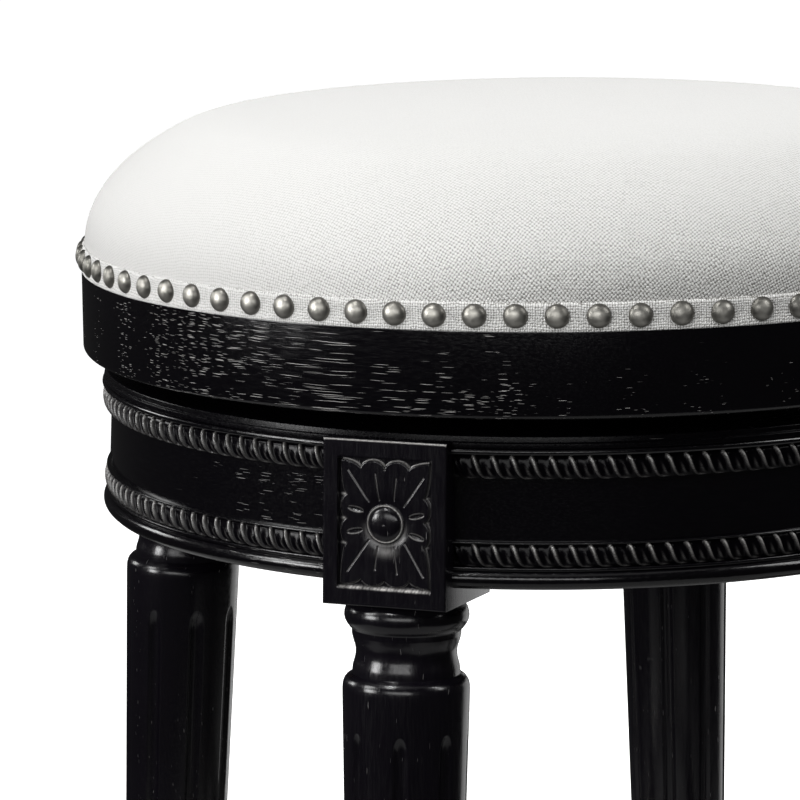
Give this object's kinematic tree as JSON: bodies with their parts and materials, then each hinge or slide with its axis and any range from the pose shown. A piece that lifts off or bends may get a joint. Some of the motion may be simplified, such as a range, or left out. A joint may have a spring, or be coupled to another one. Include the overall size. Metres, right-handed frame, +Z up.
{
  "type": "swivel bar stool",
  "caption": "Round swivel bar stool: domed linen seat with a nailed edge, rope-moulded apron, splayed fluted legs with carved blocks, and a foot ring with metal kick plates.",
  "frame": {"origin": "centre of the footprint, on the floor", "axes": "+Z up along the seat's turning axis; the front leg is at -Y, and the others at -X, +Y and +X"},
  "size_m": [0.4836, 0.4836, 0.762],
  "materials": {
    "linen": "plain woven off-white linen with slubs",
    "foam": "soft upholstery foam, hidden under the cover",
    "ebonised_wood": "black stained wood with white lime wax left in the grain, satin",
    "plywood": "bare plywood",
    "beech": "bare beech",
    "pewter": "aged pewter with darker hollows",
    "zinc_steel": "zinc plated steel",
    "ball_steel": "polished steel",
    "cage_plastic": "moulded cage",
    "nylon": "moulded nylon"
  },
  "bodies": {
    "base": {"bearing_bottom_plate": "zinc_steel", "bearing_bottom_screws": "zinc_steel", "king_pin": "zinc_steel", "base_top": "ebonised_wood", "base_top_screws": "zinc_steel", "apron_rail_front_left": "ebonised_wood", "apron_rail_back_left": "ebonised_wood", "apron_rail_back_right": "ebonised_wood", "apron_rail_front_right": "ebonised_wood", "upper_rope": "ebonised_wood", "lower_rope": "ebonised_wood", "apron_dowels": "beech", "glue_blocks": "beech", "leg_front": "ebonised_wood", "leg_left": "ebonised_wood", "leg_back": "ebonised_wood", "leg_right": "ebonised_wood", "foot_rail_front_left": "ebonised_wood", "foot_rail_back_left": "ebonised_wood", "foot_rail_back_right": "ebonised_wood", "foot_rail_front_right": "ebonised_wood", "foot_dowels": "beech", "kick_plate_front_left": "pewter", "kick_plate_back_left": "pewter", "kick_plate_back_right": "pewter", "kick_plate_front_right": "pewter", "kick_plate_screws": "pewter", "glides": "nylon", "glide_nails": "zinc_steel"},
    "seat": {"seat_cover": "linen", "seat_foam": "foam", "seat_band": "linen", "seat_nails": "pewter", "seat_ring": "ebonised_wood", "seat_board": "plywood", "seat_board_screws": "zinc_steel", "bearing_top_plate": "zinc_steel", "bearing_top_screws": "zinc_steel"},
    "ball_ring": {"bearing_cage": "cage_plastic", "bearing_balls": "ball_steel"}
  },
  "joints": [
    {"name": "seat_swivel", "type": "hinge", "parent": "base", "child": "seat", "pos_m": [0, 0, 0.6363], "axis": [0, 0, 1], "continuous": true},
    {"name": "ball_ring_turn", "type": "hinge", "parent": "base", "child": "ball_ring", "pos_m": [0, 0, 0.6363], "axis": [0, 0, 1], "continuous": true}
  ],
  "couplings": [
    {"joint": "ball_ring_turn", "follows": "seat_swivel", "ratio": 0.5}
  ]
}
